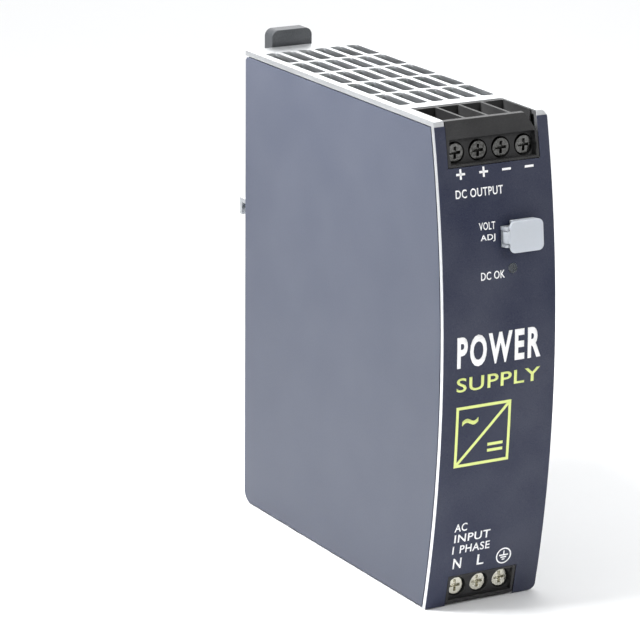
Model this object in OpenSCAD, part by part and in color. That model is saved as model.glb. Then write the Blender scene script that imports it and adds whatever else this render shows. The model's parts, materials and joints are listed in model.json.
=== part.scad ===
// Slim metal-cased power supply that snaps on a 35 mm mounting rail.
// +X is to the right as the front is seen, -Y is the front and +Z is up.
// A depth is measured forward from the flat rear face of the case.

/* [Case] */
// Width of the case along the rail
case_w = 32; // [30:1:60]
// Height of the case
case_h = 124; // [122:1:160]
// Depth of the case, from its rear face to the crown of its bowed front
case_d = 102; // [98:1:140]
// Rise of the bowed front over its top and bottom edges
bow = 6.6; // [3:0.1:8]
// Thickness of the aluminium case sheet
case_t = 1.3; // [1:0.1:1.6]
// Outer radius of the two long bends on the right side
bend_r = 1.8; // [1.7:0.1:3]
// Thickness of the steel side cover
cover_t = 1; // [0.8:0.1:1.4]
// Gap around the side cover
cover_gap = 0.35; // [0.2:0.05:0.6]
// Thickness of the printed film on the front
film_t = 0.25; // [0.15:0.05:0.4]

/* [Ventilation slots] */
// Width of a slot
vent_w = 3.4; // [2:0.1:3.6]
// Length of a slot
vent_len = 12.8; // [6:0.2:16]
// Sheet left between two slots of a row
vent_gap = 1.3; // [1:0.1:3]
// Distance between two rows
vent_pitch = 4.8; // [4.6:0.1:6]
// Radius of a slot's corners
vent_r = 0.8; // [0.4:0.1:1]

/* [Screw terminals] */
// Distance between two poles
pole_pitch = 6.5; // [6:0.1:7]
// Poles of the output terminal at the top
output_poles = 4; // [2:1:4]
// Poles of the input terminal at the bottom
input_poles = 3; // [2:1:3]
// Distance of the output screws from the top of the case
output_axis = 8.2; // [7.6:0.1:9]
// Distance of the input screws from the bottom of the case
input_axis = 4.6; // [4.4:0.1:6]
// How far the input terminal sits to the left of the middle
input_shift = 0.5; // [0:0.1:2]
// Depth of a terminal block behind its face
block_d = 17.4; // [17.2:0.1:20]
// Radius of a screw head
head_r = 2.3; // [2:0.1:2.4]
// Radius of a screw shank
shank_r = 1.5; // [1.25:0.05:1.6]
// How far a clamp moves between open and closed
clamp_travel = 3; // [2:0.1:3.2]
// Gap between a terminal block and the case around it
block_gap = 0.15; // [0.1:0.05:0.3]

/* [Adjuster flap] */
// Width of the flap
flap_w = 10.4; // [10:0.1:14]
// Height of the flap
flap_h = 7.8; // [7.6:0.1:12]
// Height of the middle of the flap, below the top of the case
flap_drop = 29.2; // [26:0.1:34]
// Left edge of the flap, right of the middle of the case
flap_x0 = 0.5; // [-2:0.1:1]
// How far the flap stands out of the front
flap_out = 3.3; // [3.1:0.1:4]
// Height of the signal light, below the middle of the flap
led_drop = 8; // [7:0.1:12]
// Place of the signal light, right of the middle of the case
led_x = 3.8; // [0:0.1:8]
// Radius of the signal light's window
led_r = 1.25; // [1:0.05:1.5]

/* [Rail foot] */
// Height of the rail
rail_h = 35; // [34:0.5:36]
// Middle of the rail, above the bottom of the case
rail_z = 63.5; // [60:0.5:72]
// Width of the foot bracket
foot_w = 27; // [24:0.5:29]
// Distance from the case to the face that the rail rests on
foot_t = 4.4; // [4.2:0.1:5]
// Thickness of the foot's steel sheet
foot_sheet = 1.2; // [1:0.1:1.5]
// Gap behind the rail face for the rim of the rail
rim_gap = 2.1; // [1.6:0.1:2.2]
// Travel of the release slider
release_travel = 3.6; // [3.2:0.1:4]
// Width of the finger tab
tab_w = 12; // [10:0.5:14]
// Height of the finger tab above the case
tab_h = 4; // [3.8:0.1:6]

/* [Circuit board] */
// Thickness of the boards
board_t = 1.6; // [1.2:0.1:2]
// Distance of the main board from the right wall
standoff_h = 2; // [1.5:0.1:3]
// Thickness of the insulating sheet
sheet_t = 0.3; // [0.2:0.05:0.4]

/* [Hidden] */
$fn = 48;

// Clearances
run_gap = 0.05;     // radial clearance of a shaft in its bore
side_gap = 0.35;    // clearance between pieces that move past each other
glue_t = 0.05;      // adhesive between the film and the front wall
over = 1;           // how far a cut runs past the face that it opens

// Case
left_x = -case_w / 2;
right_x = case_w / 2;
bow_r = (case_h * case_h / 4 + bow * bow) / (2 * bow);
skin_t = film_t + case_t;
inner_left = left_x + cover_t;
inner_right = right_x - case_t;

// Depth of the bowed surface at a height, for a surface that lies inset behind the front
function front_depth(z, inset = 0) =
    case_d - bow_r + sqrt((bow_r - inset) * (bow_r - inset) - (z - case_h / 2) * (z - case_h / 2));

// Flap
flap_z = case_h - flap_drop;
flap_tilt = asin((flap_z - case_h / 2) / bow_r);
flap_front = front_depth(flap_z) + flap_out * cos(flap_tilt) + flap_h / 2 * sin(flap_tilt);

// Foot
lip_t = foot_sheet;
foot_d = foot_t + rim_gap + lip_t + 0.3;

// The origin is below the middle of the whole object
rear_y = (flap_front - foot_d) / 2;
function y_at(depth) = rear_y - depth;

// Terminals
output_z = case_h - output_axis;
input_z = input_axis;
input_x = -input_shift;
clamp_h = 5;
clamp_w = pole_pitch - 1.2;
clamp_wall = 0.95;
nut_wall = 1.25;
wire_gap = clamp_travel + 0.1;
bar_t = 1.2;
bar_w = clamp_w - 2 * clamp_wall - 0.5;
pin_w = 1.6;
clamp_d = clamp_wall + wire_gap + bar_t + clamp_gap_front() + nut_wall;
chamber_w = clamp_w + 0.4;
chamber_h = clamp_h + 0.6;
head_sink = 2;
lip = 0.7;          // from the edge of a front opening to the trough of its screws
head_t = 2.1;
head_hole_r = head_r + side_gap;
web_t = 1;
web_d = head_sink + head_t;
chamber_d0 = web_d + web_t;
chamber_len = clamp_d + clamp_travel + 0.5;
function clamp_gap_front() = 1.1;

output_floor = output_z - 6.8;
output_sill = output_z - 3.2;
output_w = output_poles * pole_pitch - 0.1;
input_w = input_poles * pole_pitch + 0.2;
input_ceiling = input_z + 5.6;
input_lintel = input_z + 3.6;
output_face = front_depth(output_z);
input_face = front_depth(input_z);
output_d0 = output_face - block_d - 0.2;
input_d0 = input_face - block_d - 0.2;
function output_x(i) = (i - (output_poles + 1) / 2) * pole_pitch;
function input_pole_x(i) = input_x + (i - (input_poles + 1) / 2) * pole_pitch;

// Boards
board_right = inner_right - standoff_h;
board_left = board_right - board_t;
board_z0 = input_ceiling;
board_z1 = output_floor;
board_d0 = 5;
board_d1 = front_depth(0) - 2.5;
room = board_left - inner_left;
front_board_d = output_face - 6;

// A box given by its X range, its range of depths and its Z range
module slab(x, depth, z) {
    translate([x[0], y_at(depth[1]), z[0]])
        cube([x[1] - x[0], depth[1] - depth[0], z[1] - z[0]]);
}

// A rod that runs forward, given by its centre and its range of depths
module rod(x, z, depth, r) {
    translate([x, y_at(depth[0]), z])
        rotate([90, 0, 0]) cylinder(r = r, h = depth[1] - depth[0]);
}

// A rod that runs to the right, given by its depth and height and its range of X
module cross_rod(depth, z, x, r) {
    translate([x[0], y_at(depth), z])
        rotate([0, 90, 0]) cylinder(r = r, h = x[1] - x[0]);
}

// The round body that gives the bowed front, inset behind the front surface
module bow_round(inset) {
    translate([0, y_at(case_d - bow_r), case_h / 2]) rotate([0, 90, 0])
        cylinder(r = bow_r - inset, h = case_w + 4 * over, center = true, $fn = 192);
}

// Outline of the case from the front, with its right corners rounded
module case_outline(left, inset) {
    r = bend_r - inset;
    translate([left, inset]) square([right_x - inset - r - left, case_h - 2 * inset]);
    translate([left, inset + r]) square([right_x - inset - left, case_h - 2 * (inset + r)]);
    for (z = [inset + r, case_h - inset - r])
        translate([right_x - inset - r, z]) circle(r = r);
}

// The outline drawn forward from a depth and ended by the bowed front
module case_solid(left, inset, depth, front_inset) {
    intersection() {
        translate([0, y_at(depth), 0]) rotate([90, 0, 0])
            linear_extrude(height = case_d - depth) case_outline(left, inset);
        bow_round(front_inset);
    }
}

// Puts what follows on the front surface at a height, with -Y standing off the surface
module on_front(z) {
    tilt = asin((z - case_h / 2) / bow_r);
    translate([0, y_at(front_depth(z)), z]) rotate([-tilt, 0, 0]) children();
}

// ---- Case ----

// Rows of slots that fill a range of depths and end at its front, in the sheet at a height
module vent_rows(depth_range, z) {
    edge = 2;       // least sheet beside the outer rows
    rows = floor((case_w - vent_w - 2 * edge) / vent_pitch);
    step = vent_len + vent_gap;
    count = floor((depth_range[1] - depth_range[0] + vent_gap) / step);
    for (row = [0:rows], i = [1:count])
        vent_slot((row - rows / 2) * vent_pitch, depth_range[1] + vent_gap - i * step, z);
}

module vent_slot(x, depth, z) {
    half = vent_w / 2;
    translate([x, y_at(depth + vent_len), z - case_t]) linear_extrude(height = 3 * case_t) {
        translate([-half, vent_r]) square([vent_w, vent_len - 2 * vent_r]);
        translate([vent_r - half, 0]) square([vent_w - 2 * vent_r, vent_len]);
        for (side = [-1, 1], y = [vent_r, vent_len - vent_r])
            translate([side * (half - vent_r), y]) circle(r = vent_r, $fn = 16);
    }
}

// The openings that the case and its film share
module front_openings() {
    slab([-output_w / 2 - block_gap, output_w / 2 + block_gap],
        [output_d0, case_d + over], [output_sill, case_h + over]);
    slab([input_x - input_w / 2 - block_gap, input_x + input_w / 2 + block_gap],
        [input_d0, case_d + over], [-over, input_lintel]);
    on_front(flap_z) flap_window(0);
    rod(led_x, flap_z - led_drop, [front_board_d, case_d + over], led_r + run_gap);
}

module flap_window(inset) {
    x0 = flap_x0 + 0.2 + inset;
    x1 = flap_x0 + flap_w - 1.6 - inset;
    half = flap_h / 2 - 1.2 - inset;
    translate([x0, -over, -half]) cube([x1 - x0, skin_t + 2 * over, 2 * half]);
}

module case_body() {
    color("gainsboro") difference() {
        case_solid(left_x, 0, 0, film_t);
        case_solid(left_x - over, case_t, case_t, skin_t);
        // the rear wall and the bottom sheet stop at the side cover
        slab([left_x - over, inner_left], [-over, case_t + over],
            [-over, case_h - case_t]);
        intersection() {
            slab([left_x - over, inner_left], [-over, case_d], [-over, case_t + over]);
            bow_round(skin_t);
        }
        front_openings();
        vent_rows([4, output_d0 - 4], case_h - case_t);
        vent_rows([4, input_d0 - 4], 0);
        for (z = cover_screw_z)
            rod(cover_screw_x, z, [-over, case_t + over], cover_screw_r + run_gap);
        for (p = rivet_places)
            rod(p[0], p[1], [-over, case_t + over], rivet_r);
        for (p = standoff_places)
            cross_rod(p[0], p[1], [inner_right - over, right_x + over], standoff_pin_r);
        cross_rod(earth_d, earth_z, [inner_right - over, right_x + over], earth_r);
    }
}

cover_screw_r = 1.5;
cover_screw_x = inner_left + 4.2;
cover_screw_z = [13, case_h - 13];
flange_w = 7.4;
flange_h = 16;
flange_d = [case_t, case_t + cover_t];

// Height of the cover's lower edge, which hides the bottom sheet
cover_z0 = 0.2;

module side_cover() {
    gap = case_t + cover_gap;
    corner = 0.6;
    color("slategray") difference() {
        union() {
            difference() {
                intersection() {
                    slab([left_x, inner_left], [0, case_d], [cover_z0, case_h - gap]);
                    bow_round(film_t + gap);
                }
                translate([left_x - over, y_at(0), case_h - gap]) rotate([45, 0, 0])
                    cube([case_w, 2 * corner, 2 * corner], center = true);
                cover_corner();
            }
            // two tabs that lie behind the rear wall of the case and take the screws
            for (z = cover_screw_z)
                slab([inner_left, inner_left + flange_w], flange_d, [z - flange_h / 2, z + flange_h / 2]);
        }
        for (z = cover_screw_z)
            rod(cover_screw_x, z, [-over, case_t + 2 * over], cover_screw_r);
    }
}

// What rounds the lower rear corner of the cover
module cover_corner() {
    r = 3;
    difference() {
        slab([left_x - over, inner_left + over], [-over, r], [cover_z0 - over, cover_z0 + r]);
        cross_rod(r, cover_z0 + r, [left_x - 2 * over, inner_left + 2 * over], r);
    }
}

module front_film() {
    color("#3c4054") difference() {
        case_solid(left_x, 0, case_d - bow - 3, 0);
        bow_round(film_t - glue_t);
        // the film stops below the edge of the top sheet
        slab([left_x - over, right_x + over], [0, case_d + over], [case_h - case_t, case_h + over]);
        front_openings();
    }
}

module insulation_sheet() {
    color("ivory") difference() {
        slab([inner_right - sheet_t, inner_right], [board_d0 - 2, board_d1],
            [board_z0 + 2, board_z1 - 2]);
        for (p = standoff_places)
            cross_rod(p[0], p[1], [inner_right - over, right_x], standoff_r + 0.2);
        cross_rod(earth_d, earth_z, [inner_right - over, right_x], 4);
    }
}

module cover_screws() {
    color("silver") for (z = cover_screw_z) difference() {
        union() {
            rod(cover_screw_x, z, [0, 6], cover_screw_r);
            rod(cover_screw_x, z, [-1.7, 0], 2.8);
        }
        screw_cross(cover_screw_x, z, -1.7, 1, -1);
    }
}

// Cross recess in a screw head whose face is at a depth; side is 1 for a face that looks forward
module screw_cross(x, z, face, sunk, side) {
    slot = 0.7;
    reach = 1.5;
    depths = side > 0 ? [face - sunk, face + over] : [face - over, face + sunk];
    slab([x - reach, x + reach], depths, [z - slot / 2, z + slot / 2]);
    slab([x - slot / 2, x + slot / 2], depths, [z - reach, z + reach]);
}

// ---- Screw terminals ----
// Each is drawn with its screws at height 0 and its wire entries above, and its face at a depth.

module terminal_housing(poles, w, face, entry, base, hood) {
    rear = face - block_d;
    wire_d = face - chamber_d0 - chamber_len + clamp_wall + 0.3;
    difference() {
        slab([-w / 2, w / 2], [rear, case_d], [-base, entry]);
        for (i = [1:poles]) {
            x = (i - (poles + 1) / 2) * pole_pitch;
            // screw head, shank, clamp chamber, wire entry and current bar
            rod(x, 0, [face - web_d, case_d + over], head_hole_r);
            rod(x, 0, [face - chamber_d0 - over, case_d], shank_r + run_gap);
            slab([x - chamber_w / 2, x + chamber_w / 2],
                [face - chamber_d0 - chamber_len, face - chamber_d0],
                [-chamber_h / 2, chamber_h / 2]);
            slab([x - chamber_w / 2 + 0.5, x + chamber_w / 2 - 0.5],
                [wire_d, wire_d + wire_gap + 0.4], [0, entry + over]);
            if (hood > 0)
                slab([x - chamber_w / 2, x + chamber_w / 2], [rear + 1.2, face - hood],
                    [chamber_h / 2 + 1, entry + over]);
            bar_slot(x, face, bar_w, [-base + 1, 0]);
            bar_slot(x, face, pin_w, [-base - over, 0]);
        }
    }
}

// Slot that a current bar or its pin passes through
module bar_slot(x, face, w, z) {
    slab([x - w / 2 - run_gap, x + w / 2 + run_gap],
        [bar_depth(face) - run_gap, bar_depth(face) + bar_t + run_gap], z);
}

// Depth of the rear face of a current bar
function bar_depth(face) = face - chamber_d0 - chamber_len + 0.25 + clamp_wall + wire_gap;

// Trough in front of the screws, sunk behind the face
module screw_trough(w, low, high, sunk) {
    difference() {
        slab([-w / 2, w / 2], [case_d - bow - 6, case_d + over], [low, high]);
        bow_round(sunk);
    }
}

module output_block() {
    key = [3.4, 5];
    color("#3a3b3c") difference() {
        intersection() {
            translate([0, 0, output_z])
                terminal_housing(output_poles, output_w, output_face, output_axis - 0.15,
                    output_z - output_floor, 3.4);
            bow_round(0.1);
        }
        // the part below the sill lies behind the front wall of the case
        slab([-case_w, case_w], [output_face - 3.2, case_d + over],
            [0, output_sill + block_gap]);
        screw_trough(output_w - 1.6, output_sill + lip, output_z + 3.6, head_sink);
        // chamfer that keys the right end
        translate([output_w / 2, y_at(output_face - 4), case_h]) rotate([90, 0, 0])
            linear_extrude(height = 8)
                polygon([[-key[0], over], [-key[0], 0], [over, -key[1] * 1.3], [over, over]]);
    }
}

module input_block() {
    color("#333435") difference() {
        intersection() {
            translate([input_x, 0, input_z]) mirror([0, 0, 1])
                terminal_housing(input_poles, input_w, input_face, input_axis - 0.4,
                    input_ceiling - input_z, 0);
            bow_round(0.1);
        }
        // the part above the lintel lies behind the front wall of the case
        slab([-case_w, case_w], [input_face - 2.6, case_d + over],
            [input_lintel - block_gap, case_h]);
        translate([input_x, 0, 0])
            screw_trough(input_w - 1.6, 1.4, input_lintel - lip, head_sink / 2);
    }
}

module terminal_screw(face) {
    color("silver") difference() {
        union() {
            rod(0, 0, [face - web_d, face - head_sink], head_r);
            rod(0, 0, [bar_depth(face) + bar_t + 0.1, face - web_d], shank_r);
        }
        screw_cross(0, 0, face - head_sink, 1.1, 1);
    }
}

module terminal_clamp(face) {
    rear = face - chamber_d0 - chamber_len + 0.25;
    color("lightsteelblue") difference() {
        slab([-clamp_w / 2, clamp_w / 2], [rear, rear + clamp_d], [-clamp_h / 2, clamp_h / 2]);
        slab([-clamp_w / 2 + clamp_wall, clamp_w / 2 - clamp_wall],
            [rear + clamp_wall, rear + clamp_d - nut_wall], [-clamp_h, clamp_h]);
        rod(0, 0, [rear + clamp_d - 2 * nut_wall, rear + clamp_d + over], shank_r + run_gap);
    }
}

module output_screw(i) translate([output_x(i), 0, output_z]) terminal_screw(output_face);

module input_screw(i) translate([input_pole_x(i), 0, input_z]) terminal_screw(input_face);

module output_clamp(i) translate([output_x(i), 0, output_z]) terminal_clamp(output_face);

module input_clamp(i) translate([input_pole_x(i), 0, input_z]) terminal_clamp(input_face);

// A current bar that reaches a distance below the screw axis, with its solder pin below that
module current_bar(x, face, base) {
    depth = [bar_depth(face), bar_depth(face) + bar_t];
    slab([x - bar_w / 2, x + bar_w / 2], depth, [-base + 1 + run_gap, clamp_h / 2 - 0.2]);
    slab([x - pin_w / 2, x + pin_w / 2], depth, [-base - board_t - 0.8, 0]);
}

module current_bars() {
    color("goldenrod") {
        translate([0, 0, output_z]) for (i = [1:output_poles])
            current_bar(output_x(i), output_face, output_z - output_floor);
        translate([0, 0, input_z]) mirror([0, 0, 1]) for (i = [1:input_poles])
            current_bar(input_pole_x(i), input_face, input_ceiling - input_z);
    }
}

// ---- Adjuster flap, trimmer and signal light ----

pin_out = 1.5;
pin_r = 0.5;
pin_x = flap_x0 + 1.1;
knuckle_r = 1.1;
flap_wall = 0.6;
ear_r = 0.85;
ear_z1 = flap_h / 2 - 1.35;
ear_z0 = ear_z1 - 0.95;
trimmer_x = flap_x0 + flap_w / 2;
well_w = flap_w - 5.2;
well_h = flap_h - 3.6;

// Outline of the flap's face with rounded corners, as seen from the front
module flap_outline() {
    r = 1.5;
    x0 = pin_x - 0.3;
    x1 = flap_x0 + flap_w;
    translate([x0, -flap_h / 2 + r]) square([x1 - x0, flap_h - 2 * r]);
    translate([x0 + r, -flap_h / 2]) square([x1 - x0 - 2 * r, flap_h]);
    for (x = [x0 + r, x1 - r], z = [-flap_h / 2 + r, flap_h / 2 - r])
        translate([x, z]) circle(r = r);
}

module adjuster_flap() {
    rim = 0.8;
    stand = 0.35;
    color("lightsteelblue", 0.8) on_front(flap_z) difference() {
        union() {
            translate([0, -flap_out, 0]) rotate([-90, 0, 0]) mirror([0, 1, 0])
                linear_extrude(height = flap_wall) flap_outline();
            translate([0, -flap_out, 0]) rotate([-90, 0, 0]) mirror([0, 1, 0])
                linear_extrude(height = flap_out - stand) difference() {
                    flap_outline();
                    translate([pin_x - over, -flap_h / 2 + rim])
                        square([flap_x0 + flap_w - rim - pin_x + over, flap_h - 2 * rim]);
                    translate([pin_x - 3, -flap_h]) square([3 + knuckle_r + side_gap, 2 * flap_h]);
                }
            translate([pin_x, -pin_out, -ear_z0 + 0.15]) cylinder(r = knuckle_r, h = 2 * ear_z0 - 0.3);
            translate([pin_x - 0.6, -flap_out + 0.2, -ear_z0 + 0.15])
                cube([1.6, flap_out - pin_out - 0.2, 2 * ear_z0 - 0.3]);
        }
        translate([pin_x, -pin_out, -flap_h]) cylinder(r = pin_r + run_gap, h = 2 * flap_h);
    }
}

module flap_frame() {
    inset = 0.15;
    flange = 1.1;
    color("dimgray") on_front(flap_z) difference() {
        union() {
            intersection() {
                flap_window(inset);
                translate([-case_w, 0, -flap_h]) cube([2 * case_w, skin_t + 0.2, 2 * flap_h]);
            }
            translate([0, skin_t + 0.2, 0]) intersection() {
                flap_window(-flange);
                translate([-case_w, 0, -flap_h]) cube([2 * case_w, 0.9, 2 * flap_h]);
            }
            for (side = [-1, 1]) {
                translate([pin_x, -pin_out, side * (ear_z0 + ear_z1) / 2])
                    cylinder(r = ear_r, h = ear_z1 - ear_z0, center = true);
                translate([pin_x - ear_r, -pin_out, side * (ear_z0 + ear_z1) / 2 - (ear_z1 - ear_z0) / 2])
                    cube([2 * ear_r, pin_out + 0.1, ear_z1 - ear_z0]);
            }
        }
        translate([pin_x, -pin_out, -flap_h]) cylinder(r = pin_r, h = 2 * flap_h);
        // the well that leads to the trimmer
        translate([trimmer_x - well_w / 2, -2 * over, -well_h / 2])
            cube([well_w, skin_t + 5 * over, well_h]);
    }
}

module flap_pin() {
    color("silver") on_front(flap_z)
        translate([pin_x, -pin_out, -ear_z1]) cylinder(r = pin_r, h = 2 * ear_z1);
}

trimmer_d = [front_board_d, front_depth(flap_z) - skin_t - 2.6];
rotor_r = 1.6;

module trimmer_body() {
    half = 3.2;
    color("royalblue") difference() {
        slab([trimmer_x - half, trimmer_x + half], trimmer_d, [flap_z - half, flap_z + half]);
        rod(trimmer_x, flap_z, [trimmer_d[1] - 1.2, trimmer_d[1] + over], rotor_r + run_gap);
    }
}

module trimmer_rotor() {
    color("white") difference() {
        rod(trimmer_x, flap_z, [trimmer_d[1] - 1.2, trimmer_d[1] + 0.6], rotor_r);
        slab([trimmer_x - 1.3, trimmer_x + 1.3], [trimmer_d[1], trimmer_d[1] + over],
            [flap_z - 0.3, flap_z + 0.3]);
    }
}

led_z = flap_z - led_drop;
led_d1 = front_board_d + 4;

module status_led() {
    color("palegreen") {
        rod(led_x, led_z, [front_board_d, front_board_d + 1], led_r + 0.4);
        rod(led_x, led_z, [front_board_d + 1, led_d1 - led_r], led_r);
        translate([led_x, y_at(led_d1 - led_r), led_z]) sphere(r = led_r);
    }
}

module light_pipe() {
    color("white", 0.6) intersection() {
        rod(led_x, led_z, [led_d1 + 0.3, case_d], led_r);
        bow_round(-0.05);
    }
}

// ---- Boards and the parts on them ----

standoff_r = 3;
standoff_pin_r = 1.8;
thread_r = 1.25;
standoff_places = [for (d = [board_d0 + 5, board_d1 - 5], z = [board_z0 + 5, board_z1 - 5]) [d, z]];
earth_d = board_d1 - 16;
earth_z = board_z0 + 7;
earth_r = 1.5;

// Stands what follows on the main board: local X runs up, local Y to the rear, local Z off the board
module on_board(depth, z) {
    translate([board_left, y_at(depth), z]) rotate([0, -90, 0]) children();
}

// A box that stands on the board, given by its size up, in depth and off the board
module brick(size, lift = 0) {
    translate([-size[0] / 2, -size[1] / 2, lift]) cube(size);
}

module main_board() {
    color("seagreen") difference() {
        slab([board_left, board_right], [board_d0, board_d1], [board_z0, board_z1]);
        for (p = standoff_places)
            cross_rod(p[0], p[1], [board_left - over, board_right + over], 1.6);
    }
}

module terminal_boards() {
    depth_back = 14;
    color("seagreen") {
        difference() {
            slab([inner_left + 1.4, board_left], [output_d0 - depth_back, board_d1],
                [output_floor - board_t, output_floor]);
            for (i = [1:output_poles])
                bar_slot(output_x(i), output_face, pin_w, [output_floor - 5, output_floor + over]);
        }
        difference() {
            slab([inner_left + 1.4, board_left], [input_d0 - depth_back, board_d1],
                [input_ceiling, input_ceiling + board_t]);
            for (i = [1:input_poles])
                bar_slot(input_pole_x(i), input_face, pin_w, [input_ceiling - over, input_ceiling + 5]);
        }
    }
}

module front_board() {
    color("seagreen") slab([led_x - 6.5, board_left], [front_board_d - board_t, front_board_d],
        [led_z - 5, flap_z + 6]);
}

control_d = 60;
control_z = [board_z0 + 50, board_z0 + 74];

module control_board() {
    color("darkgreen") slab([board_left - 17, board_left], [control_d - 1.2, control_d], control_z);
}

// Controller chips on the control board and the two optocouplers on the main board
module board_chips() {
    color("#222222") {
        for (z = [control_z[0] + 6, control_z[1] - 6])
            slab([board_left - 12, board_left - 6], [control_d, control_d + 1.5], [z - 2.5, z + 2.5]);
        for (z = [board_z0 + 62, board_z0 + 72])
            on_board(21, z) brick([6.4, 4.6, 3.6]);
    }
}

module board_standoffs() {
    color("silver") for (p = standoff_places) difference() {
        union() {
            cross_rod(p[0], p[1], [board_right, inner_right], standoff_r);
            cross_rod(p[0], p[1], [inner_right, right_x - 0.1], standoff_pin_r);
        }
        cross_rod(p[0], p[1], [board_right - over, inner_right], thread_r);
    }
}

module board_screws() {
    color("silver") for (p = standoff_places) difference() {
        union() {
            cross_rod(p[0], p[1], [board_left - 1.6, board_left], 2.5);
            cross_rod(p[0], p[1], [board_left, inner_right - 0.3], thread_r);
        }
        for (turn = [0, 90]) translate([board_left - 1.6, y_at(p[0]), p[1]]) rotate([turn, 0, 0])
            cube([1.6, 0.6, 2.8], center = true);
    }
}

// Earth strap from the earth pole to the case, with its rivet
module earth_strap() {
    strap_t = 0.8;
    color("gold") {
        slab([inner_right - sheet_t - strap_t, inner_right - sheet_t],
            [earth_d - 3, earth_d + 7], [earth_z - 3, earth_z + 3]);
        cross_rod(earth_d, earth_z, [inner_right - sheet_t, right_x - 0.1], earth_r);
    }
}

module input_fuse() {
    color("#4a2d1c") on_board(87, board_z0 + 14) cylinder(r = 4.2, h = 8);
}

// A disc on two legs, standing across the board
module disc_part(r, t, lift) {
    translate([0, 0, lift + r]) rotate([90, 0, 0]) cylinder(r = r, h = t, center = true);
    for (leg = [-1, 1]) translate([leg * r / 2, 0, 0]) cylinder(r = 0.4, h = lift + r);
}

module surge_varistor() {
    color("steelblue") on_board(71, board_z0 + 10) disc_part(5.5, 4.4, 2);
}

module inrush_limiter() {
    color("darkslategray") on_board(84, board_z0 + 36) disc_part(6.5, 5, 2);
}

module x_capacitors() {
    color("goldenrod") for (d = [57.5, 15.5])
        on_board(d, board_z0 + 12.5) brick([8.5, 18, 15]);
}

choke_place = [36, board_z0 + 14.5];

module choke_core() {
    color("#303030") on_board(choke_place[0], choke_place[1]) translate([0, 0, 1.2])
        rotate_extrude() translate([6.2, 0]) square([3.2, 9]);
}

module choke_windings() {
    color("peru") on_board(choke_place[0], choke_place[1]) for (turn = [0, 180]) rotate([0, 0, turn])
        difference() {
            rotate_extrude(angle = 130) translate([5.1, 0]) square([5.4, 11.4]);
            translate([0, 0, 1.1]) rotate_extrude() translate([6.1, 0]) square([3.4, 9.2]);
        }
}

module y_capacitors() {
    color("cornflowerblue") for (d = [50, 61])
        on_board(d, board_z0 + 21.5) rotate([0, 0, 90]) disc_part(4, 3.6, 2);
}

module bridge_rectifier() {
    color("#1c1c1c") on_board(79, board_z0 + 17) {
        brick([22, 3.4, 17], 2.5);
        for (x = [-7.5, -2.5, 2.5, 7.5]) translate([x, 0, 0]) cylinder(r = 0.5, h = 3);
    }
}

bulk_r = 11;

module bulk_capacitors() {
    color("#23262e") for (d = [66, 42])
        on_board(d, board_z0 + 38) cylinder(r = bulk_r, h = room - 1.6);
}

core_place = [40, board_z0 + 66];
core_size = [30, 20, 21];

module transformer_core() {
    leg = 5;
    color("#2b2b2b") on_board(core_place[0], core_place[1]) difference() {
        brick(core_size, 1.5);
        for (side = [-1, 1]) translate([side * (core_size[0] / 4 + 0.25), 0, 1.5 + leg])
            translate([-4.5, -core_size[1], 0]) cube([7.5, 2 * core_size[1], core_size[2] - 2 * leg]);
    }
}

module transformer_bobbin() {
    leg = 5;
    base = 1.5;
    color("#161616") on_board(core_place[0], core_place[1]) {
        for (side = [-1, 1]) translate([0, side * (core_size[1] / 2 + 2.3), 0])
            translate([-11, -2, 0]) cube([22, 4, base + core_size[2] - leg]);
    }
}

module transformer_windings() {
    leg = 5;
    color("#c9a227") on_board(core_place[0], core_place[1]) {
        for (side = [-1, 1]) translate([side * (core_size[0] / 4 + 0.25), 0, 1.5 + leg + 0.3])
            translate([-4.2, -core_size[1] / 2 - 0.3, 0])
                cube([6.9, core_size[1] + 0.6, core_size[2] - 2 * leg - 0.6]);
    }
}

sink_h = 23;
primary_sink_d = 11;
secondary_sink_z = board_z0 + 85;

module primary_heatsink() {
    color("lightgray") on_board(primary_sink_d, board_z0 + 50) {
        brick([44, 2, sink_h]);
        for (x = [-22:5.5:22]) translate([x - 0.5 * sign(x), -0.5, 0]) brick([1, 4, sink_h]);
    }
}

// A power transistor lying on a sink: its tab, its body and its three legs
module power_pack() {
    brick([10, 1.2, 15.5], 3);
    translate([0, -2, 0]) brick([10, 3, 9.5], 3);
    for (x = [-2.5, 0, 2.5]) translate([x, -2, 0]) brick([0.8, 0.6, 4]);
}

module switch_transistor() {
    color("#202020") on_board(primary_sink_d + 3.1, board_z0 + 45) power_pack();
}

module secondary_heatsink() {
    color("lightgray") on_board(37, secondary_sink_z) brick([2, 46, sink_h]);
}

module rectifier_diodes() {
    color("#202020") for (d = [27, 47])
        on_board(d, secondary_sink_z + 1.6) rotate([0, 0, 90]) power_pack();
}

module output_inductor() {
    color("orangered") on_board(75, board_z0 + 62) rotate_extrude()
        translate([4.2, 0]) square([4.8, 10]);
}

module output_capacitors() {
    color("#2c3f63") for (p = [[68, 87], [79, 87], [73.5, 77]])
        on_board(p[0], board_z0 + p[1]) cylinder(r = 5, h = 20);
}

// ---- Rail foot ----

rail_low = rail_z - rail_h / 2;
rail_high = rail_z + rail_h / 2;
rail_fit = 0.3;
channel_d = foot_t - foot_sheet;
foot_z0 = rail_low - 8;
foot_z1 = rail_high + 10;
rivet_r = 1.4;
rivet_x = foot_w / 2 - 3;
rivet_places = [for (x = [-rivet_x, rivet_x], z = [foot_z0 - 3, foot_z1 + 3]) [x, z]];
slider_w = foot_w - 2 * foot_sheet - 2 * side_gap;
slider_d = [-channel_d + 0.25, -0.25];
tab_x = -1.2;
neck_w = tab_w - 2;
latch_w = slider_w - 5;
latch_z1 = rail_low - rail_fit;
latch_t = 1.6;
latch_bite = 3;
lip_d = [-foot_t - rim_gap - lip_t, -foot_t - rim_gap];
spring_window = [rail_z - 7, rail_z + 15];
spring_r = 1.05;
spring_wire = 0.2;
spring_x = 0;

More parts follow.
